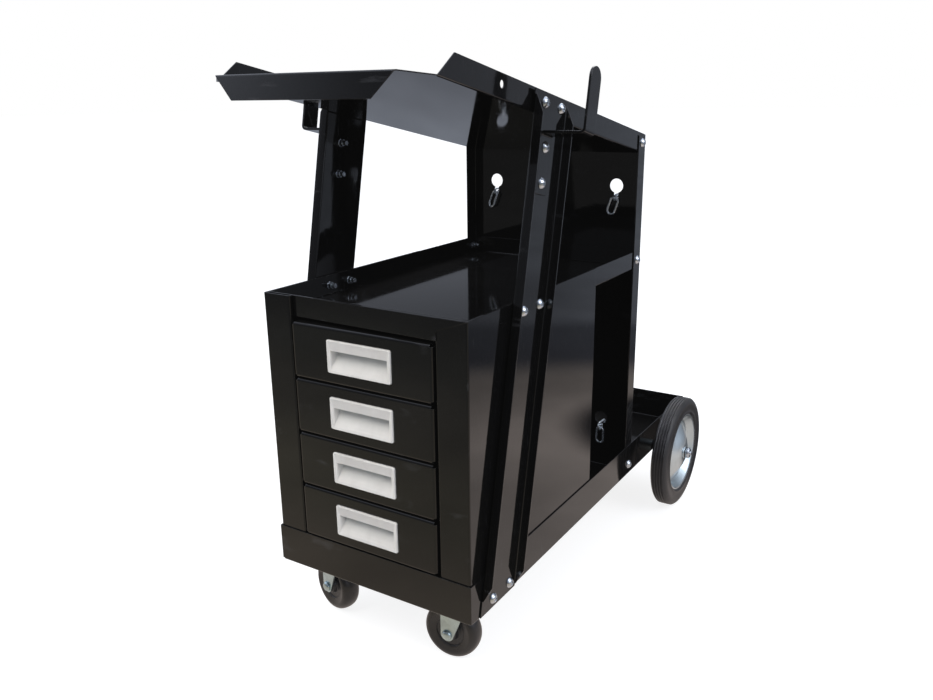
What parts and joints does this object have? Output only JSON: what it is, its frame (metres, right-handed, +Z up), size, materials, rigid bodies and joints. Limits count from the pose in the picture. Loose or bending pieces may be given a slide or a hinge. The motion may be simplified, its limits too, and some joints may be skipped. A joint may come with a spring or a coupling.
{
  "type": "welding cart",
  "caption": "Wheeled welding cart with a drawer cabinet, a middle tray, a tilted top tray, side cable hooks and a gas cylinder bay behind a keyhole panel.",
  "frame": {"origin": "centre of the assembly's footprint at floor level, the underside of the wheels", "axes": "+Z up from the floor, +Y from the drawers to the gas cylinder bay, +X to the cart's right side"},
  "size_m": [0.3878, 0.779, 0.6896],
  "materials": {
    "black_paint": "gloss",
    "ivory_plastic": "satin",
    "zinc_plate": "zinc plated",
    "bright_rim": "polished zinc",
    "tyre_rubber": "matte",
    "black_plastic": "satin",
    "caster_plastic": "satin",
    "caster_rubber": "matte"
  },
  "bodies": {
    "frame": {"base_pan": "black_paint", "cabinet_shell": "black_paint", "middle_tray": "black_paint", "rear_panel": "black_paint", "top_tray": "black_paint", "upright_left": "black_paint", "upright_right": "black_paint", "cable_hook_left": "black_paint", "cable_hook_right": "black_paint", "upright_spacers": "zinc_plate", "drawer_guide_left": "black_paint", "drawer_guide_right": "black_paint", "frame_bolts": "zinc_plate", "frame_nuts": "zinc_plate", "upper_chain": "zinc_plate", "lower_chain": "zinc_plate", "axle_brackets": "black_paint", "axle_bracket_bolts": "zinc_plate", "rear_axle": "zinc_plate", "axle_collars": "zinc_plate", "axle_caps": "zinc_plate", "caster_plate_left": "zinc_plate", "caster_plate_right": "zinc_plate", "caster_bolts": "zinc_plate", "caster_pin_left": "zinc_plate", "caster_pin_right": "zinc_plate"},
    "drawer_1": {"drawer_box_1": "black_paint", "drawer_front_1": "black_paint", "drawer_handle_1": "ivory_plastic"},
    "drawer_2": {"drawer_box_2": "black_paint", "drawer_front_2": "black_paint", "drawer_handle_2": "ivory_plastic"},
    "drawer_3": {"drawer_box_3": "black_paint", "drawer_front_3": "black_paint", "drawer_handle_3": "ivory_plastic"},
    "drawer_4": {"drawer_box_4": "black_paint", "drawer_front_4": "black_paint", "drawer_handle_4": "ivory_plastic"},
    "rear_wheel_left": {"wheel_rim_left": "bright_rim", "wheel_tyre_left": "tyre_rubber", "wheel_bush_left": "black_plastic"},
    "rear_wheel_right": {"wheel_rim_right": "bright_rim", "wheel_tyre_right": "tyre_rubber", "wheel_bush_right": "black_plastic"},
    "caster_left": {"caster_fork_left": "zinc_plate", "caster_axle_left": "zinc_plate"},
    "caster_wheel_left": {"caster_hub_left": "caster_plastic", "caster_tyre_left": "caster_rubber"},
    "caster_right": {"caster_fork_right": "zinc_plate", "caster_axle_right": "zinc_plate"},
    "caster_wheel_right": {"caster_hub_right": "caster_plastic", "caster_tyre_right": "caster_rubber"}
  },
  "joints": [
    {"name": "drawer_1_slide", "type": "slide", "parent": "frame", "child": "drawer_1", "axis": [0, -1, 0], "range_m": [0, 0.24]},
    {"name": "drawer_2_slide", "type": "slide", "parent": "frame", "child": "drawer_2", "axis": [0, -1, 0], "range_m": [0, 0.24]},
    {"name": "drawer_3_slide", "type": "slide", "parent": "frame", "child": "drawer_3", "axis": [0, -1, 0], "range_m": [0, 0.24]},
    {"name": "drawer_4_slide", "type": "slide", "parent": "frame", "child": "drawer_4", "axis": [0, -1, 0], "range_m": [0, 0.24]},
    {"name": "rear_wheel_left_roll", "type": "hinge", "parent": "frame", "child": "rear_wheel_left", "pos_m": [-0.1674, 0.27786, 0.089], "axis": [1, 0, 0], "continuous": true},
    {"name": "rear_wheel_right_roll", "type": "hinge", "parent": "frame", "child": "rear_wheel_right", "pos_m": [0.1674, 0.27786, 0.089], "axis": [1, 0, 0], "continuous": true},
    {"name": "caster_left_swivel", "type": "hinge", "parent": "frame", "child": "caster_left", "pos_m": [-0.094, -0.25514, 0.085], "axis": [0, 0, 1], "continuous": true},
    {"name": "caster_wheel_left_roll", "type": "hinge", "parent": "caster_left", "child": "caster_wheel_left", "pos_m": [-0.11198, -0.24999, 0.036], "axis": [-0.2756, -0.9613, 0], "continuous": true},
    {"name": "caster_right_swivel", "type": "hinge", "parent": "frame", "child": "caster_right", "pos_m": [0.094, -0.25514, 0.085], "axis": [0, 0, 1], "continuous": true},
    {"name": "caster_wheel_right_roll", "type": "hinge", "parent": "caster_right", "child": "caster_wheel_right", "pos_m": [0.07535, -0.25645, 0.036], "axis": [0.0698, -0.9976, 0], "continuous": true}
  ]
}
